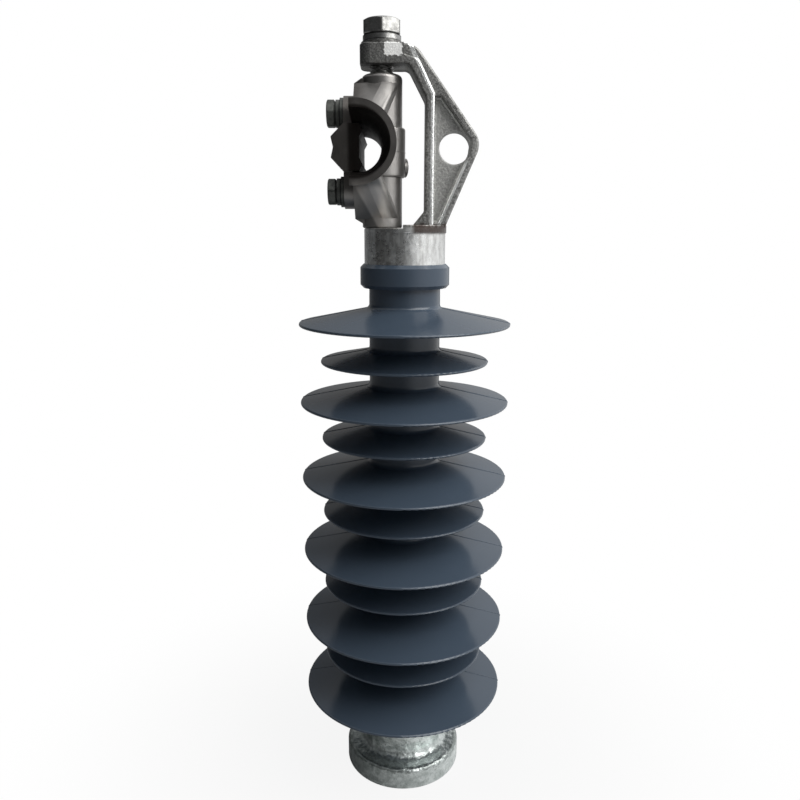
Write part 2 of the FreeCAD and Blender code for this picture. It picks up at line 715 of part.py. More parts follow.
def washer(outer, inner, start, end, slot):
    """Flat ring between two points; a slot makes it a split spring washer."""
    run = end - start
    ring = bar(outer, start, end).cut(bar(inner, start - run, end + run))
    if slot <= 0:
        return ring
    gap = Part.makeBox(slot, outer, run.Length * 3, V(-slot / 2, 0, -run.Length))
    gap.Placement = FreeCAD.Placement(start, FreeCAD.Rotation(Z_AXIS, run)).multiply(gap.Placement)
    return ring.cut(gap)


def bolt_head(across_flats, height, seat, outward, turn):
    """Hexagon head that stands on its seat, with its outer corners taken off."""
    blank = hexagon(across_flats, seat, outward * height, turn)
    corner = across_flats / math.sqrt(3)
    slope = math.tan(math.radians(30))
    top = 0.47 * across_flats
    wide = top + height / slope
    limit = Part.makeCone(wide, top, height, seat, outward)
    skirt = Part.makeCylinder(corner * 2, height - (corner - top) * slope, seat, outward)
    return blank.common(limit.fuse(skirt)).removeSplitter()


def pivot_bolt():
    """Pivot bolt: head, threaded shank in the boss, plain point in the clamp's post."""
    seat = V(PIVOT_X, 0, PIVOT_SEAT)
    head = bolt_head(PIVOT_HEAD_ACROSS_FLATS, PIVOT_HEAD_HEIGHT, seat, Z_AXIS, 90)
    shank = bar(PIVOT_BOLT_DIAMETER, V(PIVOT_X, 0, POST_TOP + END_CLEARANCE), seat)
    point = bar(PIVOT_POINT_DIAMETER, V(PIVOT_X, 0, POST_TOP - PIVOT_POINT_LENGTH), seat)
    tip = [edge for edge in point.Edges if edge.BoundBox.ZMax < POST_TOP]
    point = point.makeChamfer(1.2, tip)
    return fused(head, shank, point)


def pivot_spring_washer():
    """Spring washer under the pivot bolt's head, pressed flat."""
    return washer(PIVOT_WASHER_DIAMETER, PIVOT_BOLT_DIAMETER + 2 * WASHER_CLEARANCE,
                  V(PIVOT_X, 0, LAND_TOP), V(PIVOT_X, 0, PIVOT_SEAT), SPRING_SLOT)


def keeper_bolt(side):
    """Keeper bolt through one ear into the clamp body, upper (1) or lower (-1)."""
    height = CLAMP_MID + side * KEEPER_BOLT_SPACING / 2
    seat = V(KEEPER_SEAT_X, 0, height)
    head = bolt_head(KEEPER_HEAD_ACROSS_FLATS, KEEPER_HEAD_HEIGHT, seat, -X_AXIS, 90)
    shank = bar(KEEPER_BOLT_DIAMETER, seat, V(BOLT_TIP_X, 0, height))
    tip = [edge for edge in shank.Edges if edge.BoundBox.XMin > BOLT_TIP_X - 0.1]
    return fused(head, shank.makeChamfer(1.0, tip))


def keeper_spring_washer(side):
    """Spring washer under one keeper bolt's head, pressed flat."""
    height = CLAMP_MID + side * KEEPER_BOLT_SPACING / 2
    return washer(KEEPER_SPRING_DIAMETER, KEEPER_BOLT_DIAMETER + 2 * WASHER_CLEARANCE,
                  V(KEEPER_SEAT_X, 0, height), V(WASHER_SEAT_X, 0, height), SPRING_SLOT)


def keeper_flat_washer(side):
    """Flat washer between a spring washer and the keeper's ear."""
    height = CLAMP_MID + side * KEEPER_BOLT_SPACING / 2
    return washer(KEEPER_FLAT_DIAMETER, KEEPER_BOLT_DIAMETER + 2 * WASHER_CLEARANCE,
                  V(WASHER_SEAT_X, 0, height), V(EAR_X, 0, height), 0)


def pieces():
    """Every piece by the name of its node."""
    return {
        "core_rod": core_rod(),
        "housing": housing(),
        "base_fitting": base_fitting(),
        "top_fitting": top_fitting(),
        "pivot_bolt": pivot_bolt(),
        "pivot_spring_washer": pivot_spring_washer(),
        "clamp_body": clamp_body(),
        "clamp_keeper": keeper(),
        "keeper_bolt_upper": keeper_bolt(1),
        "keeper_bolt_lower": keeper_bolt(-1),
        "keeper_spring_washer_upper": keeper_spring_washer(1),
        "keeper_spring_washer_lower": keeper_spring_washer(-1),
        "keeper_flat_washer_upper": keeper_flat_washer(1),
        "keeper_flat_washer_lower": keeper_flat_washer(-1),
    }


def single_solid(shape, name):
    """The one solid of a piece; a piece that falls apart or isn't valid stops the build."""
    if len(shape.Solids) != 1 or not shape.Solids[0].isValid():
        raise ValueError(f"{name}: {len(shape.Solids)} solids, valid {shape.isValid()}")
    return shape.Solids[0]


os.makedirs("parts", exist_ok=True)
for node, shape in pieces().items():
    single_solid(shape, node).exportStep(f"parts/{node}.step")
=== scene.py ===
"""Looks of the polymer line post insulator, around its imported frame."""
import json
import math

import bmesh
import bpy
from mathutils import Matrix, Vector

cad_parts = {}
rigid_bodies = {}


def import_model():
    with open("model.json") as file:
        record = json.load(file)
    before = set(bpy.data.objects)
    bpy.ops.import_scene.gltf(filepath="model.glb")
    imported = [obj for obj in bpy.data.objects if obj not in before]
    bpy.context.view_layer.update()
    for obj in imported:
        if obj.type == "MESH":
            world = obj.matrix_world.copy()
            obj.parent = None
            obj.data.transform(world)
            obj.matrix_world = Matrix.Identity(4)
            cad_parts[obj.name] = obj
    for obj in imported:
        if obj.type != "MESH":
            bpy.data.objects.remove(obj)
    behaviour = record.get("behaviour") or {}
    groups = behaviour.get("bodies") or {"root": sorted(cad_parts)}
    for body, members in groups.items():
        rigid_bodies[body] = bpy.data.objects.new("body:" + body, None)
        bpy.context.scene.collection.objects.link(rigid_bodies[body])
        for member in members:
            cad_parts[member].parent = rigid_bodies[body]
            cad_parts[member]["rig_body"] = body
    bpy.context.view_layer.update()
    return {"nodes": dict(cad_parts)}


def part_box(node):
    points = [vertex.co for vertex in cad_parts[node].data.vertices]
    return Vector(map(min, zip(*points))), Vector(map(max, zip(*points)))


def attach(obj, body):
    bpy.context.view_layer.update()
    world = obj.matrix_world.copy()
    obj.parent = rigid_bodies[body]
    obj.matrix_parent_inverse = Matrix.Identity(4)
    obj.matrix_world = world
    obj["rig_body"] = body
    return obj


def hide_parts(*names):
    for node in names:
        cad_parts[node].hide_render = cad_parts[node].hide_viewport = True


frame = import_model()
MM = 0.001

# Camera of the photograph: place in metres, angles in degrees, lens and sensor in millimetres
CAMERA_PLACE = Vector((-0.0030, -0.5281, 0.4128))
CAMERA_PITCH = 12.646
CAMERA_ROLL = 0.162
CAMERA_LENS = 33.23
SENSOR_WIDTH = 36

# Key lamp, up on the right: places and size in metres
KEY_PLACE = Vector((0.84, -0.42, 1.24))
KEY_TARGET = Vector((0, 0, 0.30))
KEY_SIZE = 1.2
KEY_WATTS = 17.0
KEY_COLOUR = (1.0, 0.99, 0.97)
FLOOR_HALF = 6.0

# Places read from the frame
BASE_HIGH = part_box("base_fitting")[1]
TOP_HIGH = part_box("top_fitting")[1]
HOUSING_LOW, HOUSING_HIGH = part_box("housing")
CLAMP_LOW, CLAMP_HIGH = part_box("clamp_body")
KEEPER_LOW, KEEPER_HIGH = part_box("clamp_keeper")
PIVOT_WASHER_LOW, PIVOT_WASHER_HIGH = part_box("pivot_spring_washer")
PIVOT_X = (PIVOT_WASHER_LOW.x + PIVOT_WASHER_HIGH.x) / 2
SPRING_LOW, SPRING_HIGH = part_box("keeper_spring_washer_upper")
KEEPER_JOINTS = (SPRING_LOW.x, SPRING_HIGH.x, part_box("keeper_flat_washer_upper")[1].x)

# Base: its round flange
BASE_FLANGE_RADIUS = BASE_HIGH.x
BASE_FLANGE_HEIGHT = 17 * MM

# Top fitting: the bracket's height above the cap, the cap's rounded edge and half the web's wall
BRACKET_HEIGHT = 119 * MM
CAP_TOP = TOP_HIGH.z - BRACKET_HEIGHT
CAP_EDGE = 1.2 * MM
WEB_SIDE = 4.5 * MM

# Bracket: the right edge of its deep flange, which leans left above a knee, and the outer edge of
# its lower rim at the cap, which leans right; leans are in degrees from upright
FLANGE_EDGE_X = 19.4 * MM
FLANGE_KNEE_Z = CAP_TOP + 86 * MM
ARM_LEAN = 26.67
RIM_FOOT_X = 27.2 * MM
RIM_LEAN = -23.26

# Clamp: its middle height, the keeper's parting face, the trough's end and the round groove,
# whose radius grows by the flare between its throat and its mouths
CLAMP_MID = (KEEPER_LOW.z + KEEPER_HIGH.z) / 2
PARTING_X = CLAMP_LOW.x
TROUGH_END = CLAMP_HIGH.y
GROOVE_X = PARTING_X + 3.5 * MM
GROOVE_RADIUS = 16.7 * MM
GROOVE_FLARE = 4.4 * MM
FLARE_START = 26 * MM
HUB_REACH = 16 * MM

# Mould seam of the housing, turned from X in degrees, and casting seam of the clamp
SEAM_TURN = -5.0
SEAM_BEAD = 0.3 * MM
CLAMP_BEAD = 0.25 * MM

# Bolts and their screw threads
PIVOT_THREAD_RADIUS = 8.0 * MM
PIVOT_THREAD_PITCH = 2.0 * MM
PIVOT_POINT_RADIUS = 6.5 * MM
PIVOT_POINT_LENGTH = 14.6 * MM
KEEPER_THREAD_RADIUS = 5.0 * MM
KEEPER_THREAD_PITCH = 1.5 * MM
THREAD_DEPTH_SHARE = 0.6134
THREAD_RINGS_PER_TURN = 8
POINT_CHAMFER = 1.0 * MM
WASHER_FACE = 0.6 * MM
HEAD_CHAMFER = 30


def add(tree, kind, inputs=None, **settings):
    """One shader node; each input is a value or the output that it is linked from."""
    made = tree.nodes.new("ShaderNode" + kind)
    for name, value in settings.items():
        setattr(made, name, value)
    for key, value in (inputs or {}).items():
        if isinstance(value, bpy.types.NodeSocket):
            tree.links.new(value, made.inputs[key])
        else:
            made.inputs[key].default_value = value
    return made


def calc(tree, operation, first, second=0.0):
    """Result of one sum on two numbers."""
    return add(tree, "Math", {0: first, 1: second}, operation=operation).outputs[0]


def plus(tree, first, second):
    """Sum of two numbers."""
    return calc(tree, "ADD", first, second)


def minus(tree, first, second):
    """First number less the second."""
    return calc(tree, "SUBTRACT", first, second)


def times(tree, first, *others):
    """Product of numbers."""
    for other in others:
        first = calc(tree, "MULTIPLY", first, other)
    return first


def larger(tree, first, second):
    """Larger of two numbers."""
    return calc(tree, "MAXIMUM", first, second)


def unsigned(tree, number):
    """Number without its sign."""
    return calc(tree, "ABSOLUTE", number)


def noise(tree, place, size, detail=3.0, rough=0.55):
    """Cloudy pattern from 0 to 1 with patches of about one size in metres."""
    inputs = {"Vector": place, "Scale": 1 / size, "Detail": detail, "Roughness": rough}
    return add(tree, "TexNoise", inputs).outputs[0]


def ragged(tree, place, size, reach, detail=3.0, rough=0.55):
    """Cloudy shift of up to half a reach each way, which frays the edge of a patch."""
    return times(tree, minus(tree, noise(tree, place, size, detail, rough), 0.5), reach)


def step(tree, value, low, high, start=0.0, end=1.0):
    """Smooth rise from one number to another while the value goes from low to high."""
    made = add(tree, "MapRange", {"Value": value, 1: low, 2: high, 3: start, 4: end},
               interpolation_type="SMOOTHSTEP", clamp=True)
    return made.outputs[0]


def mix(tree, share, first, second):
    """Colour between two colours."""
    made = add(tree, "Mix", {0: share, 6: first, 7: second}, data_type="RGBA")
    return made.outputs[2]


def mix_number(tree, share, first, second):
    """Number between two numbers."""
    return add(tree, "Mix", {0: share, 2: first, 3: second}, data_type="FLOAT").outputs[0]


def flattened(tree, place, share):
    """Place with its height scaled by a share, which draws patterns out upright."""
    made = add(tree, "VectorMath", {0: place, 1: (1, 1, share)}, operation="MULTIPLY")
    return made.outputs[0]


def parts_of(tree, place):
    """The three numbers of a place."""
    made = add(tree, "SeparateXYZ", {0: place})
    return made.outputs[0], made.outputs[1], made.outputs[2]


def from_axis(tree, place):
    """Distance of a place from the Z axis."""
    made = add(tree, "VectorMath", {0: flattened(tree, place, 0)}, operation="LENGTH")
    return made.outputs["Value"]


def beyond_line(tree, x, z, foot_x, foot_z, lean):
    """Distance to the right of a line that leans left from upright by an angle in degrees."""
    across = times(tree, minus(tree, x, foot_x), math.cos(math.radians(lean)))
    up = times(tree, minus(tree, z, foot_z), math.sin(math.radians(lean)))
    return plus(tree, across, up)


def bumped(tree, height, distance, strength=1.0, under=None):
    """Normal of a surface raised by a height pattern times a distance in metres."""
    inputs = {"Height": height, "Distance": distance, "Strength": strength}
    if under is not None:
        inputs["Normal"] = under
    return add(tree, "Bump", inputs).outputs[0]


def material(name):
    """Empty node material with its tree and object coordinates."""
    made = bpy.data.materials.new(name)
    made.use_nodes = True
    tree = made.node_tree
    tree.nodes.clear()
    return made, tree, add(tree, "TexCoord").outputs["Object"]


def finish_material(tree, colour, roughness, normal, metallic=0.0):
    """Principled surface with its varying colour, roughness and normal."""
    inputs = {"Base Color": colour, "Roughness": roughness, "Normal": normal, "Metallic": metallic}
    surface = add(tree, "BsdfPrincipled", inputs)
    add(tree, "OutputMaterial", {0: surface.outputs[0]})


def silicone():
    """Moulded silicone rubber: smooth and slightly glossy, dark blue grey."""
    made, tree, place = material("silicone")
    dark = (0.061, 0.086, 0.120, 1)
    light = (0.077, 0.104, 0.143, 1)
    cloud = noise(tree, place, 45 * MM, 4)
    fine = noise(tree, place, 1.2 * MM, 2)
    colour = mix(tree, cloud, dark, light)
    roughness = step(tree, cloud, 0.2, 0.8, 0.17, 0.24)
    normal = bumped(tree, fine, 0.02 * MM, 0.3)
    finish_material(tree, colour, roughness, normal)
    return made


def zinc_lumps(tree, place):
    """Wide lumps of a thick, runny zinc coat."""
    return noise(tree, place, 11 * MM, 3, 0.6)


def base_zinc():
    """Hot dip galvanised base: bright, runny zinc with dark pits, grey mottles, painted shade on
    its left side and a ragged dark band on its flange.
    """
    made, tree, place = material("base_zinc")
    grey = (0.55, 0.60, 0.585, 1)
    bright = (0.90, 0.95, 0.94, 1)
    dull = (0.17, 0.195, 0.185, 1)
    dark_band = (0.12, 0.14, 0.132, 1)
    pit = (0.14, 0.15, 0.145, 1)
    x, _, z = parts_of(tree, place)
    fine = noise(tree, place, 1.6 * MM, 3, 0.65)
    mottle = noise(tree, place, 6 * MM, 5, 0.7)
    across = plus(tree, x, times(tree, mottle, 30 * MM))
    # painted shade: the left side of the base is darkened
    shaded_left = step(tree, across, 14 * MM, -20 * MM, 0, 0.60)
    colour = mix(tree, step(tree, mottle, 0.35, 0.7), grey, bright)
    colour = mix(tree, shaded_left, colour, dull)
    colour = mix(tree, flange_darkening(tree, place, z), colour, dark_band)
    colour = mix(tree, step(tree, fine, 0.36, 0.28), colour, pit)
    roughness = step(tree, mottle, 0.3, 0.75, 0.44, 0.28)
    normal = bumped(tree, fine, 0.3 * MM, 0.5)
    normal = bumped(tree, zinc_lumps(tree, place), 2.6 * MM, 0.8, normal)
    finish_material(tree, colour, roughness, normal, 0.92)
    return made


def flange_darkening(tree, place, z):
    """Share of the ragged darkening on top of the base flange, strongest at its edge."""
    shift = ragged(tree, place, 4 * MM, 12 * MM, 4, 0.7)
    height = plus(tree, z, shift)
    radius = plus(tree, from_axis(tree, place), shift)
    on_top = step(tree, height, BASE_FLANGE_HEIGHT - 3 * MM, BASE_FLANGE_HEIGHT - 1 * MM)
    near_edge = step(tree, radius, BASE_FLANGE_RADIUS - 4 * MM, BASE_FLANGE_RADIUS - 1.5 * MM,
                     0.12, 0.62)
    below_barrel = step(tree, z, BASE_FLANGE_HEIGHT + 7 * MM, BASE_FLANGE_HEIGHT + 1 * MM)
    return times(tree, on_top, near_edge, below_barrel)


def top_zinc():
    """Galvanised top fitting: grained bracket, streaky cap, brown stain, a painted reflection on
    the boss, painted highlights along the bracket's edges and painted shade on the cap's left.
    """
    made, tree, place = material("top_zinc")
    bright = (0.90, 0.91, 0.90, 1)
    brown = (0.055, 0.038, 0.032, 1)
    reflected_white = (0.93, 0.93, 0.92, 1)
    x, y, z = parts_of(tree, place)
    grain = noise(tree, place, 1.4 * MM, 4, 0.7)
    mottle = noise(tree, place, 7 * MM, 4, 0.65)
    # painted highlight along the flange's right edge and the lower rim
    edge_highlight = edge_highlights(tree, x, z)
    # painted reflection: a bright facet on the front of the boss
    reflection = boss_reflection(tree, place, x, y, z)
    on_cap = step(tree, z, CAP_TOP + CAP_EDGE, CAP_TOP - CAP_EDGE)
    bracket = mix(tree, edge_highlight, bracket_colour(tree, x, y, z, grain, mottle), bright)
    colour = mix(tree, on_cap, bracket, cap_colour(tree, place, x))
    colour = mix(tree, foot_stain(tree, place, x, z), colour, brown)
    colour = mix(tree, reflection, colour, reflected_white)
    smooth = times(tree, larger(tree, on_cap, edge_highlight), 0.17)
    roughness = minus(tree, step(tree, mottle, 0.3, 0.75, 0.52, 0.38), smooth)
    roughness = mix_number(tree, reflection, roughness, 0.62)
    grain_height = step(tree, on_cap, 0.0, 1.0, 0.42 * MM, 0.10 * MM)
    normal = bumped(tree, grain, grain_height, 0.8)
    normal = bumped(tree, zinc_lumps(tree, place), 0.9 * MM, 0.6, normal)
    metal = step(tree, on_cap, 0.0, 1.0, 0.85, 0.95)
    finish_material(tree, colour, roughness, normal, metal)
    return made


def bracket_colour(tree, x, y, z, grain, mottle):
    """Grained grey of the bracket: duller on its boss and its upper rims, paler in its web."""
    dark = (0.12, 0.12, 0.116, 1)
    light = (0.43, 0.43, 0.42, 1)
    mottled = (0.50, 0.50, 0.48, 1)
    dull = (0.07, 0.07, 0.066, 1)
    pale = (0.60, 0.60, 0.58, 1)
    smoky = (0.10, 0.10, 0.096, 1)
    depth = unsigned(tree, y)
    web_side, rim_side = WEB_SIDE + 0.5 * MM, WEB_SIDE + 2 * MM
    on_boss = step(tree, x, 4 * MM, -6 * MM, 0, 0.45)
    in_web = step(tree, depth, rim_side, web_side, 0, 0.4)
    high_up = step(tree, z, CAP_TOP + 55 * MM, CAP_TOP + 75 * MM, 0, 0.35)
    upper_rims = times(tree, high_up, step(tree, depth, web_side, rim_side))
    colour = mix(tree, step(tree, grain, 0.34, 0.68), dark, light)
    colour = mix(tree, step(tree, mottle, 0.4, 0.75, 0, 0.4), colour, mottled)
    colour = mix(tree, on_boss, colour, dull)
    colour = mix(tree, in_web, colour, pale)
    return mix(tree, upper_rims, colour, smoky)


def cap_colour(tree, place, x):
    """Bright streaks of the cap, with painted shade in a band on its left."""
    grey = (0.59, 0.59, 0.58, 1)
    bright = (0.90, 0.91, 0.90, 1)
    dull = (0.17, 0.16, 0.15, 1)
    streak = noise(tree, flattened(tree, place, 0.35), 3.5 * MM, 4, 0.6)
    across = plus(tree, x, times(tree, streak, 12 * MM))
    # painted shade: a band on the cap's left is darkened
    shaded_left = step(tree, across, 6 * MM, -10 * MM, 0, 0.6)
    inside_edge = step(tree, x, -21 * MM, -18.5 * MM)
    colour = mix(tree, step(tree, streak, 0.32, 0.68), grey, bright)
    return mix(tree, times(tree, shaded_left, inside_edge), colour, dull)


def foot_stain(tree, place, x, z):
    """Share of the brown stain around the bracket's foot."""
    height = minus(tree, z, ragged(tree, place, 3 * MM, 6 * MM))
    below_top = step(tree, height, CAP_TOP + 4 * MM, CAP_TOP + 1 * MM)
    above_end = step(tree, z, CAP_TOP - 5 * MM, CAP_TOP - 2.5 * MM)
    right_part = step(tree, x, 3 * MM, 7 * MM, 0, 0.93)
    return times(tree, below_top, above_end, right_part)


def edge_highlights(tree, x, z):
    """Share of painted highlight, bright and smooth, along the deep flange's right edge and the
    lower rim.
    """
    beside_post = minus(tree, x, FLANGE_EDGE_X)
    beside_arm = beyond_line(tree, x, z, FLANGE_EDGE_X, FLANGE_KNEE_Z, ARM_LEAN)
    from_flange = larger(tree, beside_post, beside_arm)
    flange_edge = times(tree, step(tree, from_flange, -2.9 * MM, -2.3 * MM),
                        step(tree, from_flange, 0.4 * MM, 0.1 * MM))
    from_rim = beyond_line(tree, x, z, RIM_FOOT_X, CAP_TOP, RIM_LEAN)
    rim_edge = times(tree, step(tree, from_rim, -5.7 * MM, -5.3 * MM),
                     step(tree, from_rim, -3.4 * MM, -3.8 * MM),
                     step(tree, z, CAP_TOP + 47 * MM, CAP_TOP + 40 * MM))
    return larger(tree, flange_edge, rim_edge)


def boss_reflection(tree, place, x, y, z):
    """Share of the painted reflection on the front of the boss, a bright facet with ragged edges.
    """
    top = TOP_HIGH.z - 2.6 * MM
    left, right = PIVOT_X + 1.5 * MM, PIVOT_X + 13.5 * MM
    shift = ragged(tree, place, 2 * MM, 4 * MM)
    across = plus(tree, x, shift)
    up = plus(tree, z, shift)
    return times(tree, step(tree, across, left, left + 0.6 * MM),
                 step(tree, across, right, right - 0.6 * MM),
                 step(tree, up, top - 8.0 * MM, top - 7.2 * MM),
                 step(tree, up, top + 0.6 * MM, top),
                 step(tree, y, -12.8 * MM, -13.4 * MM))


def groove_shade_share(tree, x, y, z):
    """Share of painted shade inside the clamp's groove, which widens towards its mouths."""
    flare = step(tree, unsigned(tree, y), FLARE_START, TROUGH_END, 0.0, GROOVE_FLARE)
    up = minus(tree, z, CLAMP_MID)
    out = minus(tree, x, GROOVE_X)
    from_middle = calc(tree, "SQRT", plus(tree, times(tree, up, up), times(tree, out, out)))
    inside = step(tree, minus(tree, from_middle, flare), GROOVE_RADIUS + 0.9 * MM,
                  GROOVE_RADIUS - 0.9 * MM, 0, 0.88)
    right_of_jaw = step(tree, x, PARTING_X - 4 * MM, PARTING_X - 1 * MM)
    return times(tree, inside, right_of_jaw)


def lit_web_share(tree, x, z):
    """Share of painted light on the clamp's lower web, above its slanted edge."""
    slant = plus(tree, x, times(tree, minus(tree, z, CLAMP_MID), 0.56))
    below_trough = step(tree, z, CLAMP_MID - 21 * MM, CLAMP_MID - 26 * MM, 0, 0.8)
    left_of_post = step(tree, x, PIVOT_X + 5 * MM, PIVOT_X - 2 * MM)
    above_edge = step(tree, slant, PARTING_X - 13 * MM, PARTING_X - 10.5 * MM)
    return times(tree, below_trough, left_of_post, above_edge)


def left_and_mouth_shade(tree, place, x, y, z):
    """Share of painted shade on the clamp's left side and in the trough's mouths."""
    across = plus(tree, x, ragged(tree, place, 6 * MM, 8 * MM))
    shaded_left = step(tree, across, PIVOT_X - 3 * MM, PIVOT_X - 19 * MM, 0, 0.85)
    above_web = step(tree, z, CLAMP_MID - 31 * MM, CLAMP_MID - 21 * MM, 0.12, 1)
    mouth = step(tree, unsigned(tree, y), TROUGH_END - 8 * MM, TROUGH_END - 4 * MM, 0, 0.62)
    return larger(tree, times(tree, shaded_left, above_web), mouth)


def cast_aluminium():
    """Sand cast aluminium: fine grained, warm grey, with stains, painted light on the lower web
    and painted shade on the left side, in the trough's mouths and inside the groove.
    """
    made, tree, place = material("cast_aluminium")
    dark = (0.27, 0.26, 0.25, 1)
    light = (0.38, 0.37, 0.36, 1)
    stained = (0.16, 0.14, 0.12, 1)
    pit = (0.13, 0.12, 0.11, 1)
    web_light = (0.86, 0.81, 0.76, 1)
    body_shade = (0.062, 0.054, 0.048, 1)
    keeper_shade = (0.12, 0.11, 0.10, 1)
    groove_shade = (0.018, 0.014, 0.012, 1)
    x, y, z = parts_of(tree, place)
    cloud = noise(tree, place, 18 * MM, 4, 0.6)
    grain = noise(tree, place, 0.7 * MM, 3, 0.6)
    stain = step(tree, noise(tree, place, 9 * MM, 5, 0.7), 0.58, 0.72, 0, 0.35)
    on_keeper = step(tree, x, PARTING_X + 1 * MM, PARTING_X - 1 * MM)
    shade_colour = mix(tree, on_keeper, body_shade, keeper_shade)
    colour = mix(tree, cloud, dark, light)
    colour = mix(tree, stain, colour, stained)
    colour = mix(tree, step(tree, grain, 0.35, 0.2), colour, pit)
    # painted light: the lower web is lightened
    colour = mix(tree, lit_web_share(tree, x, z), colour, web_light)
    # painted shade on the left side and in the trough's mouths
    colour = mix(tree, left_and_mouth_shade(tree, place, x, y, z), colour, shade_colour)
    # painted shade inside the groove
    colour = mix(tree, groove_shade_share(tree, x, y, z), colour, groove_shade)
    roughness = step(tree, cloud, 0.3, 0.7, 0.34, 0.44)
    normal = bumped(tree, grain, 0.1 * MM, 0.6)
    normal = bumped(tree, noise(tree, place, 8 * MM, 3), 0.6 * MM, 0.35, normal)
    finish_material(tree, colour, roughness, normal, 0.9)
    return made


def joint_line(tree, along, place, half):
    """Share of a dark line in a joint at one place along an axis, out to half its width."""
    off = unsigned(tree, minus(tree, along, place))
    return step(tree, off, half, half * 0.4, 0, 0.9)


def pivot_steel():
    """Galvanised pivot bolt and washer: grey with bright mottles."""
    made, tree, place = material("pivot_steel")
    dark = (0.21, 0.21, 0.205, 1)
    light = (0.42, 0.42, 0.41, 1)
    dark_band = (0.012, 0.012, 0.011, 1)
    z = parts_of(tree, place)[2]
    mottle = noise(tree, place, 4.5 * MM, 5, 0.7)
    fine = noise(tree, place, 0.7 * MM, 3)
    colour = mix(tree, step(tree, mottle, 0.35, 0.7), dark, light)
    for height in (PIVOT_WASHER_LOW.z + 0.2 * MM, PIVOT_WASHER_HIGH.z):
        colour = mix(tree, joint_line(tree, z, height, 0.7 * MM), colour, dark_band)
    roughness = step(tree, mottle, 0.3, 0.7, 0.36, 0.28)
    normal = bumped(tree, fine, 0.08 * MM, 0.5)
    normal = bumped(tree, mottle, 0.2 * MM, 0.5, normal)
    finish_material(tree, colour, roughness, normal, 0.9)
    return made


def keeper_steel():
    """Dull dark grey green bolts and washers of the keeper."""
    made, tree, place = material("keeper_steel")
    dark = (0.075, 0.08, 0.074, 1)
    light = (0.14, 0.145, 0.134, 1)
    dark_band = (0.004, 0.004, 0.004, 1)
    x = parts_of(tree, place)[0]
    mottle = noise(tree, place, 4 * MM, 4, 0.65)
    fine = noise(tree, place, 0.8 * MM, 3)
    colour = mix(tree, step(tree, mottle, 0.3, 0.7), dark, light)
    for joint_x in KEEPER_JOINTS:
        colour = mix(tree, joint_line(tree, x, joint_x, 0.6 * MM), colour, dark_band)
    roughness = step(tree, mottle, 0.3, 0.7, 0.48, 0.36)
    normal = bumped(tree, fine, 0.12 * MM, 0.6)
    finish_material(tree, colour, roughness, normal, 0.6)
    return made


def glass_fibre():
    """Yellowish glass fibre rod with fibres along its length."""
    made, tree, place = material("glass_fibre")
    resin = (0.42, 0.37, 0.20, 1)
    glass = (0.60, 0.55, 0.34, 1)
    fibres = noise(tree, flattened(tree, place, 0.03), 1.2 * MM, 3)
    colour = mix(tree, fibres, resin, glass)
    roughness = step(tree, fibres, 0.2, 0.8, 0.3, 0.45)
    normal = bumped(tree, fibres, 0.1 * MM, 0.4)
    finish_material(tree, colour, roughness, normal)
    return made


def dress(finish, *names):
    """Gives CAD nodes their finish."""
    for name in names:
        for place in frame["nodes"][name].material_slots:
            place.material = finish


def new_piece(name, mesh, finish, body):
    """Object from a mesh that rides on a body and takes its finish from a slot."""
    piece = bpy.data.objects.new(name, mesh)
    bpy.context.scene.collection.objects.link(piece)
    mesh.materials.append(finish)
    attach(piece, body)
    return piece


def ringed_mesh(name, rings, segments):
    """Closed mesh of rings about local Z; each ring gives (radius, height) at an angle."""
    points = []
    for ring in rings:
        for i in range(segments):
            angle = 2 * math.pi * i / segments
            radius, height = ring(angle)
            points.append((radius * math.cos(angle), radius * math.sin(angle), height))
    faces = [tuple(reversed(range(segments)))]
    for j in range(len(rings) - 1):
        for i in range(segments):
            following = (i + 1) % segments
            low, high = j * segments, (j + 1) * segments
            faces.append((low + i, low + following, high + following, high + i))
    last = (len(rings) - 1) * segments
    faces.append(tuple(last + i for i in range(segments)))
    mesh = bpy.data.meshes.new(name)
    mesh.from_pydata(points, [], faces)
    mesh.shade_smooth()
    mesh.set_sharp_from_angle(angle=math.radians(28))
    return mesh


def flat_ring(radius, height):
    """Plain round ring."""
    return lambda angle: (radius, height)


def thread_ring(crest, pitch, height, share):
    """Ring of a screw thread; share fades the thread in and out at its ends."""
    depth = THREAD_DEPTH_SHARE * pitch * share

    def spot(angle):
        turn = (height / pitch - angle / (2 * math.pi)) % 1.0
        wave = abs(2 * turn - 1)
        return crest - depth * min(1, max(0, 1.25 * wave - 0.125)), height

    return spot


def hex_ring(across_flats, corner, height, slope=None, flat_radius=0.0):
    """Hexagonal ring; with a slope, its corners dip as the top's chamfer cuts them."""

    def spot(angle):
        sector = (angle - math.radians(30)) % math.radians(60) - math.radians(30)
        radius = min(across_flats / 2 / math.cos(sector), corner)
        dip = 0.0 if slope is None else max(0.0, radius - flat_radius) * slope
        return radius, height - dip

    return spot


def thread_rings(crest, pitch, length):
    """Rings of a thread from its far end up to height 0, faded over one turn at each end."""
    count = round(length / pitch * THREAD_RINGS_PER_TURN)
    rings = []
    for i in range(count + 1):
        height = -length + length * i / count
        inside = min(1.0, (height + length) / pitch, -height / pitch)
        rings.append(thread_ring(crest, pitch, height, inside))
    return rings


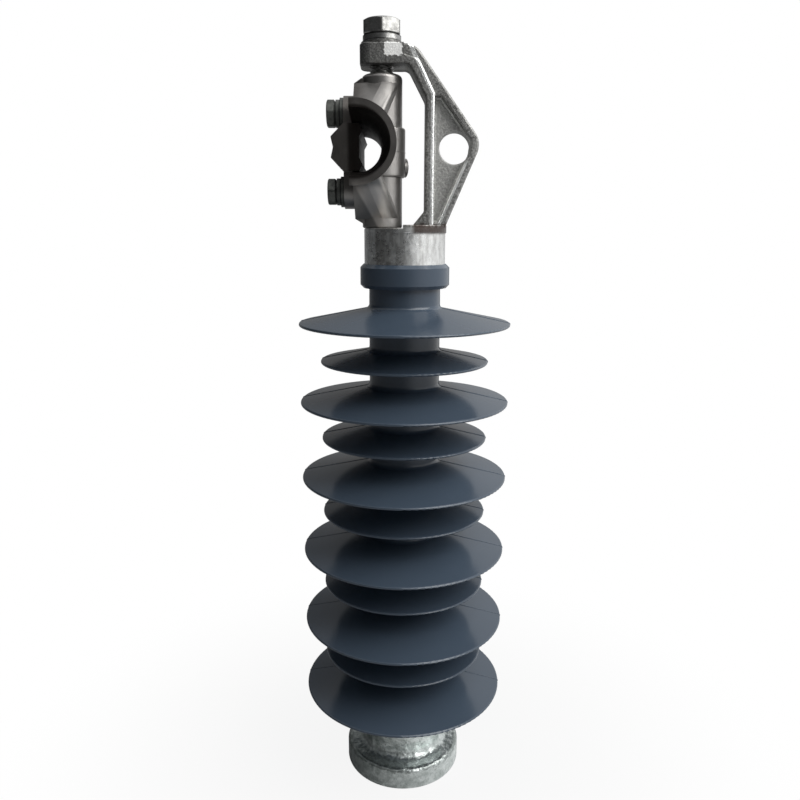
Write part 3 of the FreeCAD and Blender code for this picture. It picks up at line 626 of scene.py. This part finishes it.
def head_rings(across_flats, height):
    """Rings of a hexagon head with a round washer face below and a chamfered top."""
    corner = across_flats / math.sqrt(3) - 0.35 * MM
    flat_radius = 0.47 * across_flats
    face_radius = 0.46 * across_flats
    slope = math.tan(math.radians(HEAD_CHAMFER))
    return [
        flat_ring(face_radius, 0.0),
        flat_ring(face_radius, WASHER_FACE),
        hex_ring(across_flats - 0.8 * MM, corner - 0.6 * MM, WASHER_FACE),
        hex_ring(across_flats, corner, WASHER_FACE + 0.5 * MM),
        hex_ring(across_flats, corner, height - 0.15 * MM, slope, flat_radius),
        flat_ring(flat_radius, height - 0.1 * MM),
        flat_ring(flat_radius - 0.5 * MM, height),
    ]


def point_rings(radius, length, thread_length):
    """Rings of a bolt's plain point, below its thread."""
    tip = -thread_length - length
    return [
        flat_ring(radius - POINT_CHAMFER, tip),
        flat_ring(radius, tip + POINT_CHAMFER),
        flat_ring(radius, -thread_length),
    ]


def place_bolt(name, mesh, seat, outward, finish, body, node):
    """Stands a bolt mesh on its seat, in place of its CAD node."""
    turn = Vector((0, 0, 1)).rotation_difference(outward).to_matrix().to_4x4()
    mesh.transform(Matrix.Translation(seat) @ turn)
    piece = new_piece(name, mesh, finish, body)
    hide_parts(node)


def pivot_bolt(finish):
    """Pivot bolt with its rolled thread, seen in the gap under the boss."""
    low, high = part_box("pivot_bolt")
    seat = Vector((PIVOT_X, 0, PIVOT_WASHER_HIGH.z))
    thread_length = seat.z - low.z - PIVOT_POINT_LENGTH
    rings = point_rings(PIVOT_POINT_RADIUS, PIVOT_POINT_LENGTH, thread_length)
    rings += thread_rings(PIVOT_THREAD_RADIUS, PIVOT_THREAD_PITCH, thread_length)
    rings += head_rings(high.x - low.x, high.z - seat.z)
    mesh = ringed_mesh("pivot_bolt_threaded", rings, 96)
    place_bolt("pivot_bolt_threaded", mesh, seat, Vector((0, 0, 1)), finish, "insulator",
               "pivot_bolt")


def keeper_bolts(finish):
    """Both keeper bolts with their threads."""
    core_radius = KEEPER_THREAD_RADIUS - THREAD_DEPTH_SHARE * KEEPER_THREAD_PITCH
    for side in ("upper", "lower"):
        node = "keeper_bolt_" + side
        low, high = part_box(node)
        washer_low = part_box("keeper_spring_washer_" + side)[0]
        seat = Vector((washer_low.x, 0, (low.z + high.z) / 2))
        thread_length = high.x - seat.x
        rings = [flat_ring(core_radius, -thread_length)]
        rings += thread_rings(KEEPER_THREAD_RADIUS, KEEPER_THREAD_PITCH, thread_length)
        rings += head_rings(high.z - low.z, seat.x - low.x)
        mesh = ringed_mesh(node + "_threaded", rings, 72)
        place_bolt(node + "_threaded", mesh, seat, Vector((-1, 0, 0)), finish, "keeper",
                   node)


def section_bead(name, node, point, normal, keep, radius, finish):
    """Thin bead along a node's section, for a mould seam; keep picks its edges by middle."""
    source = frame["nodes"][node]
    cut = bmesh.new()
    cut.from_mesh(source.data)
    bmesh.ops.remove_doubles(cut, verts=cut.verts, dist=1e-6)
    everything = cut.verts[:] + cut.edges[:] + cut.faces[:]
    found = bmesh.ops.bisect_plane(cut, geom=everything, plane_co=point, plane_no=normal)
    edges = [e for e in found["geom_cut"] if isinstance(e, bmesh.types.BMEdge)
             and keep((e.verts[0].co + e.verts[1].co) / 2)]
    runs = joined_runs(edges)
    cut.free()
    mesh = bead_mesh(name, runs, radius)
    return new_piece(name, mesh, finish, source["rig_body"])


def bead_mesh(name, runs, radius):
    """Mesh of round beads along runs of points."""
    curve = bpy.data.curves.new(name, "CURVE")
    curve.dimensions = "3D"
    curve.bevel_depth = radius
    curve.bevel_resolution = 1
    for run in runs:
        spline = curve.splines.new("POLY")
        spline.points.add(len(run) - 1)
        for spot, place in zip(spline.points, run):
            spot.co = (*place, 1)
    guide = bpy.data.objects.new(name + "_guide", curve)
    mesh = bpy.data.meshes.new_from_object(guide)
    bpy.data.objects.remove(guide)
    mesh.shade_smooth()
    mesh.materials.clear()
    return mesh


def joined_runs(edges):
    """Chains of points along edges that meet end to end."""
    near = {}
    for edge in edges:
        for spot in edge.verts:
            near.setdefault(spot, []).append(edge)
    left = set(edges)
    runs = []
    starts = [spot for spot, touching in near.items() if len(touching) == 1] + list(near)
    for start in starts:
        run = [start.co.copy()]
        spot = start
        while True:
            onward = [edge for edge in near[spot] if edge in left]
            if not onward:
                break
            left.discard(onward[0])
            spot = onward[0].other_vert(spot)
            run.append(spot.co.copy())
        if len(run) > 1:
            runs.append(run)
    return runs


def housing_seams(finish):
    """Flash line that the two halves of the mould leave down the housing."""
    turn = math.radians(SEAM_TURN)
    along = Vector((math.cos(turn), math.sin(turn), 0))
    across = Vector((-along.y, along.x, 0))
    middle = Vector((0, 0, 0.2))
    sheath_radius = 24.9 * MM
    collar_depth = 14.6 * MM
    cap_radius, cap_end = 28.3 * MM, HOUSING_HIGH.z - 0.1 * MM
    base_radius, base_end = 30.1 * MM, HOUSING_LOW.z + collar_depth
    for side, name in ((1, "housing_seam_right"), (-1, "housing_seam_left")):
        def keep(place, side=side):
            reach = place.dot(along) * side
            inner = reach < sheath_radius
            in_cap = reach < cap_radius and cap_end - collar_depth < place.z < cap_end
            in_base = reach < base_radius and place.z < base_end
            return not (inner or in_cap or in_base)
        section_bead(name, "housing", middle, across, keep, SEAM_BEAD, finish)


def clamp_seam(finish):
    """Parting line around the hub of the clamp's post, a little above its middle."""
    point = Vector((0, 0, CLAMP_MID + 0.4 * MM))

    def keep(place):
        return place.x > PIVOT_X + 5 * MM and abs(place.y) < HUB_REACH

    section_bead("clamp_seam", "clamp_body", point, Vector((0, 0, 1)), keep, CLAMP_BEAD, finish)


def shown_white(tree, mirrored):
    """Share of plain white: all for the camera and through glass, and a given one in mirrors."""
    paths = add(tree, "LightPath").outputs
    seen = larger(tree, paths["Is Camera Ray"], paths["Is Transmission Ray"])
    return larger(tree, seen, times(tree, paths["Is Glossy Ray"], mirrored))


def studio():
    """World that the camera sees as white, over a plain soft studio light."""
    world = bpy.data.worlds.new("studio")
    bpy.context.scene.world = world
    world.use_nodes = True
    tree = world.node_tree
    tree.nodes.clear()
    x, y, z = parts_of(tree, add(tree, "TexCoord").outputs["Generated"])
    right = step(tree, plus(tree, x, times(tree, z, 0.6)), 0.2, 0.9, 0.0, 0.7)
    behind = times(tree, step(tree, y, 0.5, 0.95), step(tree, x, -0.1, 0.35, 0.20, 0.38))
    above = step(tree, z, 0.45, 0.85, 0.0, 0.6)
    mirrored = calc(tree, "MINIMUM", plus(tree, plus(tree, right, behind), above), 1.0)
    level = plus(tree, step(tree, x, -0.2, 0.9, 0.03, 0.40), step(tree, z, 0.2, 0.9, 0.0, 0.20))
    room = add(tree, "Background", {"Color": (0.94, 0.97, 1.0, 1), "Strength": level})
    white = add(tree, "Background", {"Color": (1, 1, 1, 1), "Strength": 1.0})
    inputs = {0: shown_white(tree, mirrored), 1: room.outputs[0], 2: white.outputs[0]}
    both = add(tree, "MixShader", inputs)
    add(tree, "OutputWorld", {0: both.outputs[0]})


def floor():
    """Pale floor that fades to white away from the part."""
    half = FLOOR_HALF
    corners = [(-half, -half, 0), (half, -half, 0), (half, half, 0), (-half, half, 0)]
    mesh = bpy.data.meshes.new("floor")
    mesh.from_pydata(corners, [], [(0, 1, 2, 3)])
    piece = bpy.data.objects.new("floor", mesh)
    bpy.context.scene.collection.objects.link(piece)
    made, tree, place = material("pale_floor")
    distance = from_axis(tree, place)
    side = calc(tree, "DIVIDE", parts_of(tree, place)[0], plus(tree, distance, 50 * MM))
    seen = shown_white(tree, step(tree, side, -0.1, 0.8, 0.04, 0.8))
    share = times(tree, seen, step(tree, distance, 40 * MM, 350 * MM, 0.90, 1.0))
    cloth = add(tree, "BsdfDiffuse", {"Color": (0.52, 0.52, 0.52, 1)})
    white = add(tree, "Emission", {"Color": (1, 1, 1, 1), "Strength": 1.0})
    both = add(tree, "MixShader", {0: share, 1: cloth.outputs[0], 2: white.outputs[0]})
    add(tree, "OutputMaterial", {0: both.outputs[0]})
    mesh.materials.append(made)


def key_lamp():
    """Soft square lamp that points at the middle of the part."""
    light = bpy.data.lights.new("key", "AREA")
    light.size = KEY_SIZE
    light.energy = KEY_WATTS
    light.color = KEY_COLOUR
    piece = bpy.data.objects.new("key", light)
    bpy.context.scene.collection.objects.link(piece)
    piece.location = KEY_PLACE
    piece.rotation_euler = (KEY_TARGET - KEY_PLACE).to_track_quat("-Z", "Y").to_euler()


def camera():
    """Camera at the photograph's place and angle."""
    lens = bpy.data.cameras.new("camera")
    lens.lens = CAMERA_LENS
    lens.sensor_width = SENSOR_WIDTH
    lens.clip_start = 0.01
    piece = bpy.data.objects.new("camera", lens)
    bpy.context.scene.collection.objects.link(piece)
    tilt = Matrix.Rotation(math.radians(90 - CAMERA_PITCH), 4, "X")
    roll = Matrix.Rotation(math.radians(CAMERA_ROLL), 4, "Z")
    piece.matrix_world = Matrix.Translation(CAMERA_PLACE) @ tilt @ roll
    bpy.context.scene.camera = piece


rubber = silicone()
aluminium = cast_aluminium()
bolt_zinc = pivot_steel()
dull_steel = keeper_steel()
dress(rubber, "housing")
dress(glass_fibre(), "core_rod")
dress(base_zinc(), "base_fitting")
dress(top_zinc(), "top_fitting")
dress(aluminium, "clamp_body", "clamp_keeper")
dress(bolt_zinc, "pivot_spring_washer", "pivot_bolt")
dress(dull_steel, "keeper_spring_washer_upper", "keeper_spring_washer_lower",
      "keeper_flat_washer_upper", "keeper_flat_washer_lower",
      "keeper_bolt_upper", "keeper_bolt_lower")
pivot_bolt(bolt_zinc)
keeper_bolts(dull_steel)
housing_seams(rubber)
clamp_seam(aluminium)

studio()
floor()
key_lamp()
camera()
bpy.context.scene.view_settings.view_transform = "Standard"
